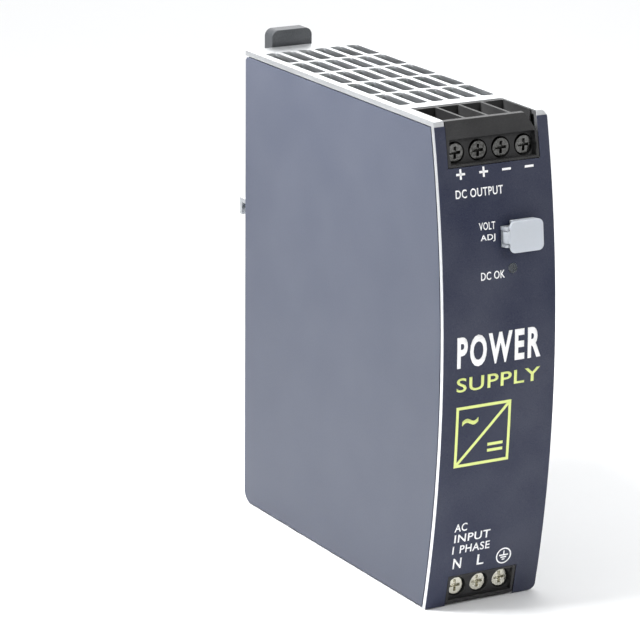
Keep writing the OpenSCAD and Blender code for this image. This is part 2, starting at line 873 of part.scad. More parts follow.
module foot_bracket() {
    ear_w = 6.4;
    half = foot_w / 2;
    color("lightgray") difference() {
        union() {
            // the plate behind which the slider runs, its two side flanges and its upper hook
            slab([-half, half], [-foot_t, -channel_d], [foot_z0, foot_z1]);
            for (side = [-1, 1])
                slab([side * half - (side + 1) / 2 * foot_sheet, side * half - (side - 1) / 2 * foot_sheet],
                    [-foot_t, 0], [foot_z0, foot_z1]);
            slab([-half, half], [lip_d[0], -channel_d], [rail_high + rail_fit, rail_high + rail_fit + foot_sheet]);
            slab([-half, half], lip_d, [rail_high - latch_bite, rail_high + rail_fit + foot_sheet]);
            // four ears that are riveted to the case
            for (side = [-1, 1], end = [0, 1]) {
                x = side > 0 ? [half - ear_w, half] : [-half, -half + ear_w];
                z = end > 0 ? [foot_z1, foot_z1 + 6] : [foot_z0 - 6, foot_z0];
                slab(x, [-foot_sheet, 0], z);
                step = end > 0 ? [foot_z1 - foot_sheet, foot_z1] : [foot_z0, foot_z0 + foot_sheet];
                slab(x, [-foot_t, 0], step);
            }
            // the lug that carries the lower end of the spring
            slab([spring_x - 1.4, spring_x + 1.4], [-channel_d, -0.5],
                [spring_window[0] + 0.5, spring_window[0] + 1.7]);
        }
        // window for the latch
        slab([-latch_w / 2 - side_gap, latch_w / 2 + side_gap], [-foot_t - over, -channel_d + 0.01],
            [latch_z1 - latch_t - release_travel - side_gap, latch_z1 + side_gap]);
        for (p = rivet_places)
            rod(p[0], p[1], [-foot_t - over, over], rivet_r);
    }
}

module release_slider() {
    slider_z0 = foot_z0 + release_travel + foot_sheet + side_gap;
    slider_z1 = foot_z1 - foot_sheet - side_gap;
    half = slider_w / 2;
    color("#2b2c2e") difference() {
        union() {
            slab([-half, half], slider_d, [slider_z0, slider_z1]);
            slab([tab_x - neck_w / 2, tab_x + neck_w / 2], slider_d, [slider_z1 - over, case_h - 6]);
            finger_tab();
        }
        slab([spring_x - 1.8, spring_x + 1.8], [slider_d[0] - over, over], spring_window);
        // seat of the latch plate
        slab([-latch_w / 2, latch_w / 2], [slider_d[0] - over, slider_d[0] + latch_t],
            [slider_z0 - over, latch_z1 + 7]);
    }
}

// The tab that a finger presses, with its upper corners rounded
module finger_tab() {
    r = 2;
    depth = [-5.9, -1.7];
    z0 = case_h - 9;
    z1 = case_h + tab_h;
    translate([tab_x, y_at(depth[0]), 0]) rotate([90, 0, 0]) linear_extrude(height = depth[1] - depth[0]) {
        translate([-tab_w / 2, z0]) square([tab_w, z1 - z0 - r]);
        translate([-tab_w / 2 + r, z0]) square([tab_w - 2 * r, z1 - z0]);
        for (x = [-tab_w / 2 + r, tab_w / 2 - r]) translate([x, z1 - r]) circle(r = r);
    }
}

module rail_latch() {
    slider_z0 = foot_z0 + release_travel + foot_sheet + side_gap;
    half = latch_w / 2;
    color("#e6e2d3") {
        slab([-half, half], [slider_d[0], slider_d[0] + latch_t], [slider_z0, latch_z1 + 7]);
        slab([-half, half], [lip_d[0] - 0.3, slider_d[0] + latch_t], [latch_z1 - latch_t, latch_z1]);
        slab([-half, half], [lip_d[0] - 0.3, lip_d[1]], [latch_z1 - latch_t, rail_low + latch_bite]);
    }
}

// Points of the spring's wire: rings of a few points that follow a helix
module release_spring() {
    z0 = spring_window[0] + 1.7;
    z1 = spring_window[1];
    turns = 11;
    steps = 14;
    sides = 6;
    n = turns * steps;
    rise = z1 - z0 - 2 * spring_wire;
    points = [for (i = [0:n], k = [0:sides - 1])
        let (a = 360 * i / steps, b = 360 * k / sides, r = spring_r + spring_wire * cos(b))
            [r * cos(a), r * sin(a), rise * i / n + spring_wire * sin(b)]];
    faces = [for (i = [0:n - 1], k = [0:sides - 1])
        let (a = i * sides + k, b = i * sides + (k + 1) % sides) [a, b, b + sides, a + sides]];
    ends = [[for (k = [0:sides - 1]) sides - 1 - k], [for (k = [0:sides - 1]) n * sides + k]];
    color("silver") translate([spring_x, y_at(-channel_d / 2), z0 + spring_wire])
        polyhedron(points = points, faces = concat(faces, ends));
}

module foot_rivets() {
    color("silver") for (p = rivet_places) {
        rod(p[0], p[1], [-foot_sheet, case_t], rivet_r);
        rod(p[0], p[1], [-foot_sheet - 1, -foot_sheet], rivet_r + 1.1);
        rod(p[0], p[1], [case_t, case_t + 0.9], rivet_r + 0.8);
    }
}

case_body();
side_cover();
front_film();
insulation_sheet();
cover_screws();
output_block();
input_block();
output_screw(1);  // output_screw_1
output_screw(2);  // output_screw_2
output_screw(3);  // output_screw_3
output_screw(4);  // output_screw_4
input_screw(1);  // input_screw_1
input_screw(2);  // input_screw_2
input_screw(3);  // input_screw_3
output_clamp(1);  // output_clamp_1
output_clamp(2);  // output_clamp_2
output_clamp(3);  // output_clamp_3
output_clamp(4);  // output_clamp_4
input_clamp(1);  // input_clamp_1
input_clamp(2);  // input_clamp_2
input_clamp(3);  // input_clamp_3
current_bars();
earth_strap();
adjuster_flap();
flap_frame();
flap_pin();
trimmer_body();
trimmer_rotor();
status_led();
light_pipe();
main_board();
terminal_boards();
front_board();
control_board();
board_chips();
board_standoffs();
board_screws();
input_fuse();
surge_varistor();
inrush_limiter();
x_capacitors();
choke_core();
choke_windings();
y_capacitors();
bridge_rectifier();
bulk_capacitors();
transformer_core();
transformer_bobbin();
transformer_windings();
primary_heatsink();
switch_transistor();
secondary_heatsink();
rectifier_diodes();
output_inductor();
output_capacitors();
foot_bracket();
release_slider();
rail_latch();
release_spring();
foot_rivets();
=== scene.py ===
"""Looks of a slim metal-cased power supply for a mounting rail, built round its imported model."""
import json
import math

import bpy
from mathutils import Matrix, Vector

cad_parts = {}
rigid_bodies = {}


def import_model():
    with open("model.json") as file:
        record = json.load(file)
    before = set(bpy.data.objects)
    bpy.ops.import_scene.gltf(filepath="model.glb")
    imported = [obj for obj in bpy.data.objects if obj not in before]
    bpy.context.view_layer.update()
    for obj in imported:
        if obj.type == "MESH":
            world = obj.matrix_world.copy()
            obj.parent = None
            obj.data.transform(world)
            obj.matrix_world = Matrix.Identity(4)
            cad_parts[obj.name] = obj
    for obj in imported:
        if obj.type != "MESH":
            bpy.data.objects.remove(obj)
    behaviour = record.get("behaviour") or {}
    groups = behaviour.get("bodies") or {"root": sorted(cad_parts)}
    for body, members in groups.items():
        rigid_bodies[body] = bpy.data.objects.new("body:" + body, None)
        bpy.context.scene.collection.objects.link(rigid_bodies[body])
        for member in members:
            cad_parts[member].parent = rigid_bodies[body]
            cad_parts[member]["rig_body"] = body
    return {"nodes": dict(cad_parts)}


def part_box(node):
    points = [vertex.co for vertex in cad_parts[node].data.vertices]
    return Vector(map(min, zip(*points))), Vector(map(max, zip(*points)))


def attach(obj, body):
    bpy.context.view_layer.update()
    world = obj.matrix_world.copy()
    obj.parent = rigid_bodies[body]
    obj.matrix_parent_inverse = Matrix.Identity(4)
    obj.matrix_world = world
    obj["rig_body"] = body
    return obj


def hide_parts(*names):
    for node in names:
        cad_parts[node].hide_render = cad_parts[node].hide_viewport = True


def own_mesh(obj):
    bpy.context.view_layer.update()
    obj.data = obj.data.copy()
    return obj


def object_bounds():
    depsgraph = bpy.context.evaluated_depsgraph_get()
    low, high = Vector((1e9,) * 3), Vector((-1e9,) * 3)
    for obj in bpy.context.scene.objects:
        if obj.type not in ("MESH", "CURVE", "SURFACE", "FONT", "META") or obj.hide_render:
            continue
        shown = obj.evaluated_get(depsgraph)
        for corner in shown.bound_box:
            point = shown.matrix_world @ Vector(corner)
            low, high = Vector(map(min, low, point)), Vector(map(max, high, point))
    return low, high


bl_info = {
    "name": "Rail power supply",
    "version": (1, 0, 0),
    "blender": (4, 5, 0),
    "location": "3D View > Sidebar > Power supply",
    "description": "Builds the finished pieces of a slim power supply for a mounting rail",
    "category": "Add Mesh",
}

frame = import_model()
CAD_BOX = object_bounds()
MM = 0.001
# Height of a strip of print between two cuts, small beside the radius of the bowed front
PRINT_ROW = 1.5 * MM
# How far before the object the print starts when it is laid on the film
PRINT_START = 5 * MM
# Share of the print's height above the film that is ink
INK_SHARE = 0.8
# Size of the soft clouds in every finish
CLOUD_SIZE = 18 * MM


# ---- Colours and material nodes ----

def linear(code):
    """Turns an sRGB hex colour into Blender's linear colour."""
    channels = [int(code[i:i + 2], 16) / 255 for i in (1, 3, 5)]
    return tuple(c / 12.92 if c <= 0.04045 else ((c + 0.055) / 1.055) ** 2.4 for c in channels) + (1,)


def add(material, kind, values=None, links=None, **settings):
    """Adds a shader node with its own settings, its socket values and the sockets that feed it."""
    tree = material.node_tree
    node = tree.nodes.new("ShaderNode" + kind)
    for key, value in settings.items():
        setattr(node, key, value)
    for key, value in (values or {}).items():
        node.inputs[key].default_value = value
    for key, socket in (links or {}).items():
        tree.links.new(socket, node.inputs[key])
    return node


def ramp(material, factor, stops):
    """Adds a colour ramp with its stops, each a place from 0 to 1 and a linear colour."""
    node = add(material, "ValToRGB", links={"Fac": factor})
    elements = node.color_ramp.elements
    while len(elements) < len(stops):
        elements.new(0.5)
    for element, (place, colour) in zip(elements, stops):
        element.position = place
        element.color = colour
    return node


def start_material(name, **shader):
    """Makes an empty material and its surface shader, whose sockets are given with _ for a space."""
    material = bpy.data.materials.new(name)
    material.use_nodes = True
    material.node_tree.nodes.clear()
    surface = add(material, "BsdfPrincipled",
                  values={key.replace("_", " "): value for key, value in shader.items()})
    add(material, "OutputMaterial", links={"Surface": surface.outputs["BSDF"]})
    return material, surface


def toned(colour, share):
    """A linear colour made lighter by a share above 0, or darker by one below 0."""
    r, g, b, a = colour
    if share < 0:
        return (r * (1 + share), g * (1 + share), b * (1 + share), a)
    return (r + (1 - r) * share, g + (1 - g) * share, b + (1 - b) * share, a)


def finish(name, colour, grain, rough, tones=(-0.06, 0.04), bump=0.01, stretch=(1, 1, 1), **shader):
    """A material whose colour, roughness and relief follow one fine grain.

    grain is the size of the pattern and bump its depth, both in mm. rough is a pair, and the colour is
    a hex code or a linear colour.
    """
    colour = linear(colour) if isinstance(colour, str) else tuple(colour)
    material, surface = start_material(name, **shader)
    place = add(material, "TexCoord").outputs["Object"]
    turned = add(material, "Mapping", values={"Scale": stretch}, links={"Vector": place})
    pattern = add(material, "TexNoise",
                  values={"Scale": 1 / (grain * MM), "Detail": 4, "Roughness": 0.6},
                  links={"Vector": turned.outputs["Vector"]})
    cloud = add(material, "TexNoise", values={"Scale": 1 / CLOUD_SIZE, "Detail": 2},
                links={"Vector": place})
    both = add(material, "Mix", values={"Factor": 0.5},
               links={"A": pattern.outputs["Fac"], "B": cloud.outputs["Fac"]})
    colours = ramp(material, both.outputs["Result"],
                   [(0.35, toned(colour, tones[0])), (0.65, toned(colour, tones[1]))])
    shine = add(material, "MapRange",
                values={"From Min": 0.35, "From Max": 0.65, "To Min": rough[0], "To Max": rough[1]},
                links={"Value": both.outputs["Result"]})
    relief = add(material, "Bump", values={"Strength": 0.6, "Distance": bump * MM},
                 links={"Height": pattern.outputs["Fac"]})
    tree = material.node_tree
    tree.links.new(colours.outputs["Color"], surface.inputs["Base Color"])
    tree.links.new(shine.outputs["Result"], surface.inputs["Roughness"])
    tree.links.new(relief.outputs["Normal"], surface.inputs["Normal"])
    return material


MATERIALS = {}


def make_materials():
    """Makes every finish once, under the name of the record's material slot that it gives."""
    sizes = bpy.context.scene.supply_finish
    made = {
        # Milled aluminium sheet, chemically matted: bright, soft reflections with a faint rolling grain
        "case_aluminium": finish("Matt aluminium sheet", sizes.case_colour, 0.35, (0.34, 0.46),
                                 stretch=(1, 0.08, 1), bump=0.004, Metallic=1.0),
        # Steel under satin blue-grey powder paint: even colour, broad sheen, slight orange peel
        "cover_steel": finish("Satin powder paint", sizes.cover_colour, 0.5, (0.42, 0.5),
                              tones=(-0.03, 0.02), bump=0.006, IOR=1.5, Specular_IOR_Level=0.3),
        # Polyester film printed dark blue on its back, with a fine matt texture
        "front_film": finish("Printed polyester film", sizes.film_colour, 0.22, (0.38, 0.5),
                             tones=(-0.05, 0.04), bump=0.006, IOR=1.57,
                             Specular_IOR_Level=0.2),
        # Thin ivory insulating film
        "insulation_film": finish("Insulating film", "#E8E0C8", 1.2, (0.3, 0.4), IOR=1.55),
        # Bright zinc plate: silvery blue, with soft crystals and handling marks
        "zinc_steel": finish("Bright zinc plate", "#C9CCD0", 0.6, (0.22, 0.4),
                             tones=(-0.12, 0.1), bump=0.004, Metallic=1.0),
        # Zinc plate of the input screws, passivated to a warm tone
        "screw_zinc": finish("Warm passivated zinc", "#E2DFCF", 0.5, (0.2, 0.34),
                             tones=(-0.15, 0.1), bump=0.004, Metallic=1.0),
        # Zinc of the output screws, painted dark olive as the shade of their recess, with sharp glints
        "screw_painted_shade": finish("Zinc painted dark as shade", "#24231C", 0.5, (0.12, 0.24),
                              tones=(-0.3, 0.2), bump=0.006, Metallic=1.0),
        # Glass-filled nylon: charcoal, with the dry sheen of a spark-eroded mould
        "terminal_black": finish("Charcoal nylon", sizes.terminal_colour, 0.25, (0.42, 0.58),
                                 tones=(-0.1, 0.03), bump=0.012, IOR=1.53,
                                 Specular_IOR_Level=0.3),
        # Passivated spring steel of the wire clamps
        "clamp_steel": finish("Passivated clamp steel", "#B9BDB8", 0.5, (0.25, 0.4),
                              tones=(-0.12, 0.06), bump=0.004, Metallic=1.0),
        # Tin plate over copper: pale and soft
        "tinned_copper": finish("Tinned copper", "#CDC6B8", 0.6, (0.28, 0.42),
                                tones=(-0.08, 0.05), bump=0.004, Metallic=1.0),
        # Milky polycarbonate of the flap: pale, glossy, and lit from inside
        "flap_clear": finish("Milky polycarbonate", sizes.flap_colour, 0.8, (0.16, 0.24),
                             tones=(-0.03, 0.02), bump=0.003, IOR=1.58, Transmission_Weight=0.25,
                             Subsurface_Weight=0.25, Subsurface_Radius=(0.002, 0.002, 0.0022),
                             Subsurface_Scale=1.0),
        "trimmer_blue": finish("Blue trimmer case", "#2C56A8", 0.4, (0.3, 0.4), bump=0.006, IOR=1.5),
        "white_plastic": finish("White moulded plastic", "#E6E5DF", 0.4, (0.35, 0.45), bump=0.006,
                                IOR=1.5),
        "led_green": finish("Tinted diode resin", "#5FA36A", 0.6, (0.08, 0.15), bump=0.002, IOR=1.54,
                            Transmission_Weight=0.5),
        "light_clear": finish("Clear light pipe", "#7E8894", 0.8, (0.06, 0.12), bump=0.002, IOR=1.49,
                              Transmission_Weight=0.85),
        "board_green": finish("Green solder mask", "#1F5B38", 1.2, (0.22, 0.34),
                              tones=(-0.25, 0.05), bump=0.012, IOR=1.55, Coat_Weight=0.4,
                              Coat_Roughness=0.12),
        "chip_black": finish("Chip moulding", "#1B1C1E", 0.18, (0.4, 0.55), bump=0.01, IOR=1.55),
        "fuse_brown": finish("Brown fuse case", "#4A2D1C", 0.4, (0.3, 0.42), bump=0.008, IOR=1.5),
        "varistor_blue": finish("Blue epoxy dip", "#2B63B0", 1.4, (0.16, 0.28), tones=(-0.08, 0.06),
                                bump=0.05, IOR=1.55),
        "limiter_green": finish("Dark green phenolic dip", "#25342C", 1.4, (0.22, 0.34),
                                tones=(-0.1, 0.06), bump=0.05, IOR=1.58),
        "film_capacitor_yellow": finish("Yellow flame-proof case", "#D6A52C", 0.4, (0.34, 0.46),
                                        bump=0.008, IOR=1.5),
        "ferrite_grey": finish("Sintered ferrite", "#3A3A3D", 0.2, (0.42, 0.6), tones=(-0.12, 0.08),
                               bump=0.015, IOR=2.0),
        "enamelled_copper": finish("Enamelled copper wire", "#B4622A", 0.5, (0.18, 0.28),
                                   tones=(-0.12, 0.08), bump=0.01, Metallic=1.0, Coat_Weight=0.6,
                                   Coat_Roughness=0.08),
        "y_capacitor_blue": finish("Pale blue ceramic dip", "#4E86C6", 1.2, (0.16, 0.28),
                                   bump=0.05, IOR=1.55),
        "capacitor_sleeve": finish("Shrunk sleeve", "#23252B", 0.7, (0.16, 0.26), bump=0.01,
                                   IOR=1.52),
        "bobbin_black": finish("Phenolic bobbin", "#202123", 0.3, (0.36, 0.5), bump=0.01, IOR=1.58),
        "winding_tape": finish("Yellow polyester tape", "#D9B43A", 0.6, (0.14, 0.24), bump=0.01,
                               IOR=1.57, Transmission_Weight=0.05),
        "sink_aluminium": finish("Pressed aluminium sink", "#C3C5C6", 0.5, (0.32, 0.45),
                                 stretch=(1, 1, 0.08), bump=0.005, Metallic=1.0),
        # Moulded tab of the slide
        "slider_black": finish("Dark moulded nylon", sizes.slider_colour, 0.3, (0.42, 0.56),
                               bump=0.012, IOR=1.53),
        "latch_cream": finish("Cream acetal", sizes.latch_colour, 0.5, (0.28, 0.38), bump=0.006,
                              IOR=1.48),
        "spring_steel": finish("Drawn spring wire", "#A9ABAD", 0.3, (0.2, 0.32), bump=0.003,
                               Metallic=1.0),
        "print_white": finish("White screen print", "#FAFAFA", 0.3, (0.45, 0.55),
                              tones=(-0.03, 0.02), bump=0.003, IOR=1.5),
        "print_lime": finish("Lime screen print", sizes.lime_colour, 0.3, (0.45, 0.55),
                             tones=(-0.04, 0.03), bump=0.003, IOR=1.5),
    }
    MATERIALS.update(made)


# ---- Modelling helpers ----

def select_only(*objects):
    """Selects these objects and nothing else."""
    bpy.ops.object.select_all(action="DESELECT")
    for item in objects:
        item.select_set(True)
    bpy.context.view_layer.objects.active = objects[0]


def apply_modifier(piece, kind, **settings):
    """Adds a modifier to a piece and applies it."""
    select_only(piece)
    modifier = piece.modifiers.new(kind, kind)
    for key, value in settings.items():
        setattr(modifier, key, value)
    bpy.ops.object.modifier_apply(modifier=modifier.name)


def drawn_copy(node, name):
    """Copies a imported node's mesh as a new piece, with its triangles merged into whole faces."""
    piece = bpy.data.objects.new(name, frame["nodes"][node].data.copy())
    bpy.context.scene.collection.objects.link(piece)
    select_only(piece)
    bpy.ops.object.mode_set(mode="EDIT")
    bpy.ops.mesh.select_all(action="SELECT")
    bpy.ops.mesh.customdata_custom_splitnormals_clear()
    bpy.ops.mesh.remove_doubles(threshold=0.001 * MM)
    bpy.ops.mesh.dissolve_limited(angle_limit=math.radians(0.4))
    bpy.ops.object.mode_set(mode="OBJECT")
    return piece


def paint(piece, slot, finish_name=None):
    """Gives a piece the finish of the record's slot that it comes from, or the finish named instead."""
    piece.data.materials.clear()
    piece.data.materials.append(MATERIALS[finish_name or slot])


def smooth(piece, angle=30):
    """Shades faces that meet at less than an angle as one surface, and keeps the large flats flat."""
    select_only(piece)
    bpy.ops.object.shade_smooth_by_angle(angle=math.radians(angle))
    apply_modifier(piece, "WEIGHTED_NORMAL", weight=100, keep_sharp=True)


def refined(node, slot, edge, sharp=30, segments=2, finish_name=None, clamped=False):
    """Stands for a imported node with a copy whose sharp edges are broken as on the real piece."""
    piece = drawn_copy(node, node + "_piece")
    if edge:
        apply_modifier(piece, "BEVEL", width=edge, segments=segments, limit_method="ANGLE",
                       angle_limit=math.radians(sharp), use_clamp_overlap=clamped,
                       loop_slide=True, miter_outer="MITER_SHARP")
    smooth(piece)
    paint(piece, slot, finish_name)
    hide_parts(node)
    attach(piece, frame["nodes"][node]["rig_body"])
    return piece


# ---- Settings ----

def colour_setting(name, description, code):
    """A colour that a user may change, with its default as an sRGB hex code."""
    return bpy.props.FloatVectorProperty(name=name, description=description, subtype="COLOR",
                                         size=4, min=0, max=1, default=linear(code))


def length_setting(name, description, millimetres):
    """A length that a user may change, with its default in mm."""
    return bpy.props.FloatProperty(name=name, description=description, subtype="DISTANCE",
                                   unit="LENGTH", min=0, precision=5, default=millimetres * MM)


class SupplyFinish(bpy.types.PropertyGroup):
    """Sizes and colours that a user would change."""

    case_colour: colour_setting("Case", "Colour of the aluminium case", "#DDDFE1")
    cover_colour: colour_setting("Side cover", "Colour of the painted side cover", "#474C5B")
    film_colour: colour_setting("Front film", "Colour of the printed front film", "#20263E")
    terminal_colour: colour_setting("Terminals", "Colour of the terminal blocks", "#1F1F20")
    flap_colour: colour_setting("Flap", "Colour of the milky flap", "#DDE3EC")
    slider_colour: colour_setting("Release slider", "Colour of the release slider", "#2F3236")
    latch_colour: colour_setting("Latch", "Colour of the rail latch", "#DCD8C8")
    lime_colour: colour_setting("Lime print", "Colour of the lime printing", "#DDE88A")
    sheet_edge: length_setting("Sheet edge", "Width of the broken edges of the sheet", 0.12)
    moulded_edge: length_setting("Moulded edge", "Width of the broken edges of large mouldings", 0.2)
    small_edge: length_setting("Small edge", "Width of the broken edges of small details", 0.08)
    print_relief: length_setting("Print relief", "Height of the printing above the film", 0.03)


# ---- Printing on the front ----

def stand_up(piece, middle, size):
    """Turns a flat shape of the XY plane to face the front, at a middle (x, z) and a size in mm."""
    corners = [Vector(corner) for corner in piece.bound_box]
    low = Vector(map(min, zip(*corners)))
    high = Vector(map(max, zip(*corners)))
    scale = [size[i] * MM / (high[i] - low[i]) for i in (0, 1)]
    piece.data.transform(Matrix.Translation((middle[0] * MM, 0, middle[1] * MM))
                         @ Matrix.Rotation(math.radians(90), 4, "X")
                         @ Matrix.Diagonal((scale[0], scale[1], 1, 1))
                         @ Matrix.Translation(-(low + high) / 2))
    return piece


def word(text, middle, size, weight=0.012, spacing=1.08):
    """A word as a flat mesh, stretched to a size."""
    bpy.ops.object.select_all(action="DESELECT")
    bpy.ops.object.text_add()
    item = bpy.context.object
    item.data.body = text
    item.data.offset = weight
    item.data.space_character = spacing
    item.data.resolution_u = 4
    bpy.ops.object.convert(target="MESH")
    item = bpy.context.object
    bpy.context.view_layer.update()
    return stand_up(item, middle, size)


def bar(middle, size, turn=0):
    """A straight stroke, turned about its middle by an angle in degrees."""
    bpy.ops.mesh.primitive_plane_add(size=1)
    item = stand_up(bpy.context.object, (0, 0), size)
    item.data.transform(Matrix.Translation((middle[0] * MM, 0, middle[1] * MM))
                        @ Matrix.Rotation(math.radians(-turn), 4, "Y"))
    return item


def ring(middle, radius, stroke):
    """A circle drawn with a stroke."""
    bpy.ops.mesh.primitive_circle_add(vertices=64, radius=radius * MM, fill_type="NGON")
    item = bpy.context.object
    bpy.ops.object.mode_set(mode="EDIT")
    bpy.ops.mesh.inset(thickness=stroke * MM)
    bpy.ops.mesh.delete(type="FACE")
    bpy.ops.object.mode_set(mode="OBJECT")
    return stand_up(item, middle, (2 * radius, 2 * radius))


def print_on_front(name, shapes, ink):
    """Joins flat shapes, wraps them on the bowed film and gives them the thickness of the ink."""
    select_only(*shapes)
    if len(shapes) > 1:
        bpy.ops.object.join()
    piece = bpy.context.object
    piece.name = name
    heights = [vertex.co.z for vertex in piece.data.vertices]
    rows = math.ceil((max(heights) - min(heights)) / PRINT_ROW)
    bpy.ops.object.mode_set(mode="EDIT")
    for row in range(1, rows):
        bpy.ops.mesh.select_all(action="SELECT")
        bpy.ops.mesh.bisect(plane_co=(0, 0, min(heights) + row * PRINT_ROW), plane_no=(0, 0, 1))
    bpy.ops.object.mode_set(mode="OBJECT")
    relief = bpy.context.scene.supply_finish.print_relief
    piece.data.transform(Matrix.Translation((0, CAD_BOX[0][1] - PRINT_START, 0)))
    apply_modifier(piece, "SHRINKWRAP", target=bpy.data.objects["front_film_piece"],
                   wrap_method="PROJECT", use_project_y=True, use_positive_direction=True,
                   use_negative_direction=False, offset=relief)
    apply_modifier(piece, "SOLIDIFY", thickness=INK_SHARE * relief, offset=-1)
    paint(piece, "front_film", ink)
    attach(piece, "case")
    return piece


class SUPPLY_OT_printing(bpy.types.Operator):
    """Prints the generic marks of the poles, the adjuster and the light on the front film."""

    bl_idname = "supply.printing"
    bl_label = "Printing"

    def execute(self, context):
        self.print_output_marks()
        self.print_names()
        self.print_converter_symbol()
        self.print_input_marks()
        return {"FINISHED"}

    def print_output_marks(self):
        """Signs of the output poles, and the words at the adjuster and at the light."""
        height = 111
        stroke = 0.55
        arm = 2.5
        signs = [bar((pole_x("output", i), height), (arm, stroke)) for i in (1, 2, 3, 4)]
        signs += [bar((pole_x("output", i), height), (stroke, arm)) for i in (1, 2)]
        print_on_front("output_pole_signs", signs, "print_white")
        print_on_front("output_words", [word("DC OUTPUT", (-4.8, 106.3), (13.4, 2.1))],
                       "print_white")
        print_on_front("adjuster_words", [word("VOLT", (-3.1, 97.9), (4.6, 1.9)),
                                          word("ADJ", (-3, 94.9), (4.2, 1.9))], "print_white")
        print_on_front("light_words", [word("DC OK", (-1.9, 85.7), (6.8, 2))], "print_white")

    def print_names(self):
        """Two plain words in the middle of the front."""
        print_on_front("white_word", [word("POWER", (-0.2, 67.5), (24, 8), weight=0.035, spacing=1.25)],
                       "print_white")
        print_on_front("lime_word", [word("SUPPLY", (-0.2, 59.3), (24, 3.6))], "print_lime")

    def print_converter_symbol(self):
        """Drafting symbol of an AC to DC converter: a box with a diagonal and two signs."""
        x, z = -4.2, 45.8
        side = 15
        stroke = 0.75
        half = side / 2
        frame_bars = [bar((x, z + shift), (side + stroke, stroke)) for shift in (-half, half)]
        frame_bars += [bar((x + shift, z), (stroke, side - stroke)) for shift in (-half, half)]
        diagonal = bar((x, z), (math.sqrt(2) * (side - stroke), stroke), turn=45)
        half_gap = 0.8
        signs = [word("~", (x - side / 4, z + side / 4), (4.6, 1.8)),
                 bar((x + side / 4, z - side / 4 + half_gap), (4.4, stroke)),
                 bar((x + side / 4, z - side / 4 - half_gap), (4.4, stroke))]
        print_on_front("converter_symbol", frame_bars + [diagonal] + signs, "print_lime")

    def print_input_marks(self):
        """Words of the input, its two pole letters and the sign of protective earth."""
        print_on_front("input_words", [word("AC", (-8.4, 21.5), (3.6, 2.2)),
                                       word("INPUT", (-4.8, 18.5), (10.4, 2.2)),
                                       word("1 PHASE", (-4.8, 15.4), (10.8, 2.2))],
                       "print_white")
        print_on_front("input_pole_letters", [word("N", (pole_x("input", 1) - 1.4, 11.6), (2.4, 2.9)),
                                              word("L", (pole_x("input", 2) - 1.1, 11.6), (2, 2.9))],
                       "print_white")
        x, z = pole_x("input", 3) - 0.8, 11.4
        stroke = 0.35
        sign = [ring((x, z), 2.2, stroke), bar((x, z + 0.8), (stroke, 1.2))]
        sign += [bar((x, z + 0.2 - 0.6 * i), (2.6 - 0.9 * i, stroke)) for i in range(3)]
        print_on_front("earth_sign", sign, "print_white")


def pole_x(terminal, pole):
    """Place of a terminal's pole to the right of the middle, in mm."""
    low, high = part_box(f"{terminal}_screw_{pole}")
    return (low[0] + high[0]) / 2 / MM


class SUPPLY_OT_case(bpy.types.Operator):
    """Makes the case, its side cover and its screws."""

    bl_idname = "supply.case"
    bl_label = "Case"

    def execute(self, context):
        sizes = context.scene.supply_finish
        refined("case_body", "case_aluminium", sizes.sheet_edge)
        refined("side_cover", "cover_steel", sizes.sheet_edge)
        refined("cover_screws", "zinc_steel", sizes.sheet_edge)
        refined("front_film", "front_film", 0)
        return {"FINISHED"}


class SUPPLY_OT_terminals(bpy.types.Operator):
    """Makes the terminal blocks with their screws and clamps."""

    bl_idname = "supply.terminals"
    bl_label = "Terminals"

    def execute(self, context):
        small = context.scene.supply_finish.small_edge
        refined("output_block", "terminal_black", small)
        refined("input_block", "terminal_black", small)
        # The input screws get their warm zinc plate, the output screws zinc painted dark as the shade
        # of their recess
        for side, poles, plating_and_shade in (("output", 4, "screw_painted_shade"), ("input", 3, "screw_zinc")):
            for i in range(1, poles + 1):
                refined(f"{side}_screw_{i}", "zinc_steel", small, finish_name=plating_and_shade)
                refined(f"{side}_clamp_{i}", "clamp_steel", small)
        refined("current_bars", "tinned_copper", small)
        refined("earth_strap", "tinned_copper", small)
        return {"FINISHED"}


class SUPPLY_OT_flap(bpy.types.Operator):
    """Makes the flap over the adjuster with what lies behind it."""

    bl_idname = "supply.flap"
    bl_label = "Flap and adjuster"

    def execute(self, context):
        # Slot of each piece, and the width in mm of its broken edges
        finishes = {
            "adjuster_flap": ("flap_clear", 0.15), "flap_frame": ("flap_clear", 0.1),
            "flap_pin": ("zinc_steel", 0.08), "trimmer_body": ("trimmer_blue", 0.15),
            "trimmer_rotor": ("white_plastic", 0.1), "status_led": ("led_green", 0.05),
            "light_pipe": ("light_clear", 0.08),
        }
        for name, (slot, edge) in finishes.items():
            refined(name, slot, edge * MM)
        return {"FINISHED"}


class SUPPLY_OT_foot(bpy.types.Operator):
    """Makes the rail foot with its slider, latch and spring."""

    bl_idname = "supply.foot"
    bl_label = "Rail foot"

    def execute(self, context):
        moulded = context.scene.supply_finish.moulded_edge
        refined("foot_bracket", "zinc_steel", 0.15 * MM)
        refined("release_slider", "slider_black", moulded)
        refined("rail_latch", "latch_cream", moulded)
        refined("foot_rivets", "sink_aluminium", 0.12 * MM)
        self.make_spring()
        return {"FINISHED"}

    def make_spring(self):
        """Copies the spring, with a mesh of its own."""
        spring = refined("release_spring", "spring_steel", 0)
        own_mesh(spring)


